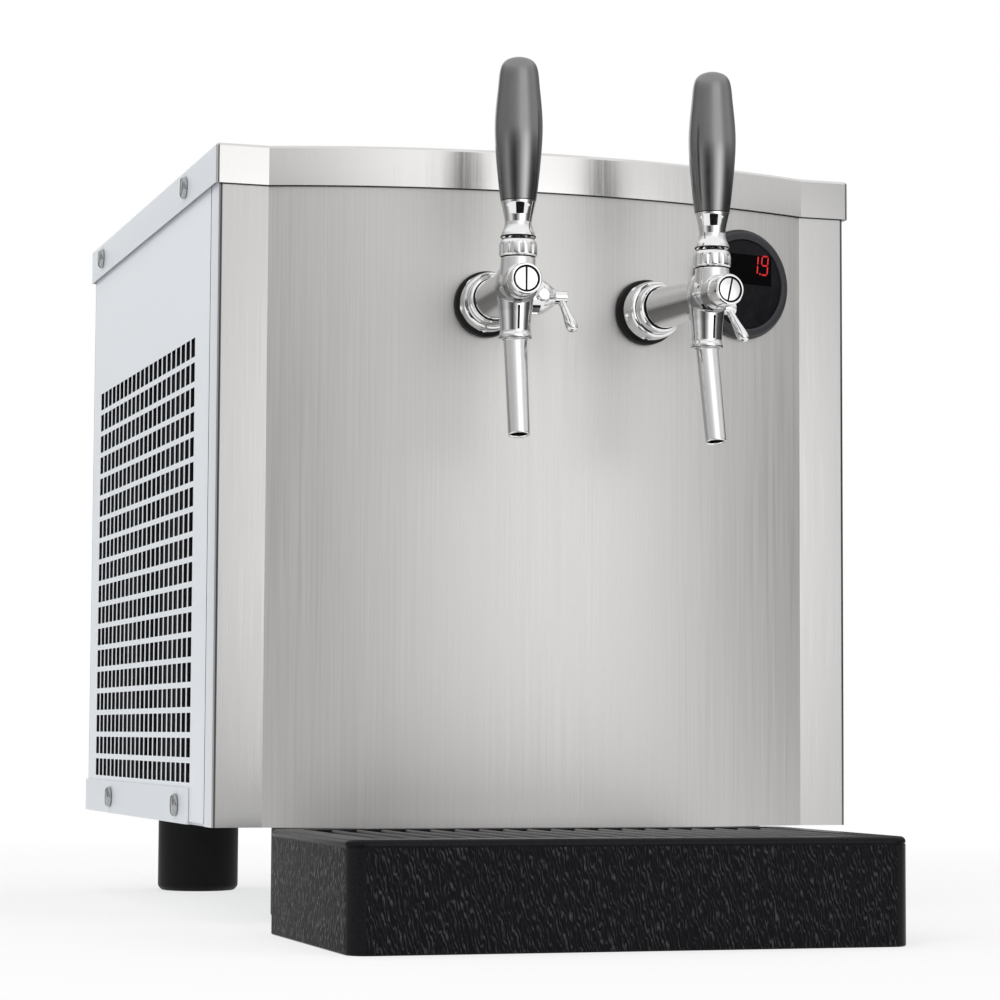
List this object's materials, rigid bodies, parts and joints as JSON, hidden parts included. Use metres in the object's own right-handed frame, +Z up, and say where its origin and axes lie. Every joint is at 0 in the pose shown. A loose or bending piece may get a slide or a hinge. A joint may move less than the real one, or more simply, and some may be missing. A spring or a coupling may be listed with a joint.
{
  "type": "draft beer dispenser",
  "caption": "Countertop draft beer cooler: bowed steel cabinet with lever taps, round temperature display, perforated side grille, rubber feet and a separate drip tray with a wire grid.",
  "frame": {"origin": "on the ground at the centre of the overall footprint, tray and rear fittings included", "axes": "+Z up, -Y towards the user at the taps, +X to the user's right"},
  "size_m": [0.412, 0.712, 0.4963],
  "materials": {
    "brushed_steel": "vertical brushed grain, satin",
    "pale_steel": "pale bluish white sheet, satin",
    "zinc_steel": "zinc plated, satin",
    "chrome": "polished",
    "black_rubber": "matt",
    "black_plastic": "satin moulded",
    "handle_plastic": "glossy",
    "cone_plastic": "smooth moulded",
    "dark_glass": "clear gloss over a dark display",
    "black_paint": "gloss black paint",
    "dark_fins": "dark finned core",
    "white_foam": "foamed white shell",
    "tray_plastic": "grained faces and smooth bead",
    "wire_paint": "black coated wire"
  },
  "bodies": {
    "machine": {"base_pan": "pale_steel", "base_screw_left_front": "zinc_steel", "base_screw_left_rear": "zinc_steel", "base_screw_right_front": "zinc_steel", "base_screw_right_rear": "zinc_steel", "beer_inlet_left": "zinc_steel", "beer_inlet_right": "zinc_steel", "compressor": "black_paint", "condenser": "dark_fins", "cooling_block": "white_foam", "cord_gland": "black_rubber", "cover": "brushed_steel", "cover_screw_left_front": "zinc_steel", "cover_screw_left_rear": "zinc_steel", "cover_screw_right_front": "zinc_steel", "cover_screw_right_rear": "zinc_steel", "fan_motor": "zinc_steel", "fan_shroud": "black_paint", "foot_front_left": "black_rubber", "foot_front_right": "black_rubber", "foot_rear_left": "black_rubber", "foot_rear_right": "black_rubber", "front_panel": "brushed_steel", "left_side_panel": "pale_steel", "left_tap_beer_line": "zinc_steel", "left_tap_body": "chrome", "left_tap_collar_nut": "chrome", "left_tap_compensator_nut": "chrome", "left_tap_flange_nut": "chrome", "left_tap_front_cap": "chrome", "left_tap_gasket": "black_rubber", "left_tap_nozzle": "chrome", "left_tap_shank": "zinc_steel", "rear_panel": "zinc_steel", "right_side_panel": "pale_steel", "right_tap_beer_line": "zinc_steel", "right_tap_body": "chrome", "right_tap_collar_nut": "chrome", "right_tap_compensator_nut": "chrome", "right_tap_flange_nut": "chrome", "right_tap_front_cap": "chrome", "right_tap_gasket": "black_rubber", "right_tap_nozzle": "chrome", "right_tap_shank": "zinc_steel", "suction_line": "zinc_steel", "thermostat_case": "black_plastic", "thermostat_window": "dark_glass"},
    "left_handle": {"left_tap_lever": "chrome", "left_tap_handle": "handle_plastic"},
    "left_valve": {"left_tap_valve_shaft": "zinc_steel"},
    "left_compensator": {"left_tap_compensator_lever": "chrome"},
    "left_cone": {"left_tap_compensator_cone": "cone_plastic"},
    "right_handle": {"right_tap_lever": "chrome", "right_tap_handle": "handle_plastic"},
    "right_valve": {"right_tap_valve_shaft": "zinc_steel"},
    "right_compensator": {"right_tap_compensator_lever": "chrome"},
    "right_cone": {"right_tap_compensator_cone": "cone_plastic"},
    "fan": {"fan_blades": "black_plastic"},
    "drip_tray": {"drip_tray": "tray_plastic"},
    "drip_grid": {"drip_grid": "wire_paint"}
  },
  "joints": [
    {"name": "left_tap_pull", "type": "hinge", "parent": "machine", "child": "left_handle", "pos_m": [-0.05116, -0.21125, 0.3858], "axis": [0.9962, -0.0876, 0], "range_deg": [-12, 28]},
    {"name": "left_valve_slide", "type": "slide", "parent": "machine", "child": "left_valve", "axis": [0.0876, 0.9962, 0], "range_m": [-0.003, 0.0069]},
    {"name": "left_compensator_turn", "type": "hinge", "parent": "machine", "child": "left_compensator", "pos_m": [-0.047, -0.16394, 0.3658], "axis": [0.9962, -0.0876, 0], "range_deg": [-60, 30]},
    {"name": "left_cone_slide", "type": "slide", "parent": "machine", "child": "left_cone", "axis": [0.0876, 0.9962, 0], "range_m": [-0.0013, 0.0025]},
    {"name": "right_tap_pull", "type": "hinge", "parent": "machine", "child": "right_handle", "pos_m": [0.06739, -0.2096, 0.3858], "axis": [0.9933, 0.1154, 0], "range_deg": [-12, 28]},
    {"name": "right_valve_slide", "type": "slide", "parent": "machine", "child": "right_valve", "axis": [-0.1154, 0.9933, 0], "range_m": [-0.003, 0.0069]},
    {"name": "right_compensator_turn", "type": "hinge", "parent": "machine", "child": "right_compensator", "pos_m": [0.06191, -0.16242, 0.3658], "axis": [0.9933, 0.1154, 0], "range_deg": [-60, 30]},
    {"name": "right_cone_slide", "type": "slide", "parent": "machine", "child": "right_cone", "axis": [-0.1154, 0.9933, 0], "range_m": [-0.0013, 0.0025]},
    {"name": "fan_spin", "type": "hinge", "parent": "machine", "child": "fan", "pos_m": [-0.1415, 0.136, 0.218], "axis": [1, 0, 0], "continuous": true},
    {"name": "tray_slide", "type": "slide", "parent": "machine", "child": "drip_tray", "axis": [0, -1, 0], "range_m": [0, 0.15]},
    {"name": "grid_lift", "type": "slide", "parent": "drip_tray", "child": "drip_grid", "axis": [0, 0, 1], "range_m": [0, 0.08]}
  ],
  "couplings": [
    {"joint": "left_valve_slide", "follows": "left_tap_pull", "m_per_rad": 0.014},
    {"joint": "left_cone_slide", "follows": "left_compensator_turn", "m_per_rad": -0.00226},
    {"joint": "right_valve_slide", "follows": "right_tap_pull", "m_per_rad": 0.014},
    {"joint": "right_cone_slide", "follows": "right_compensator_turn", "m_per_rad": -0.00226}
  ]
}
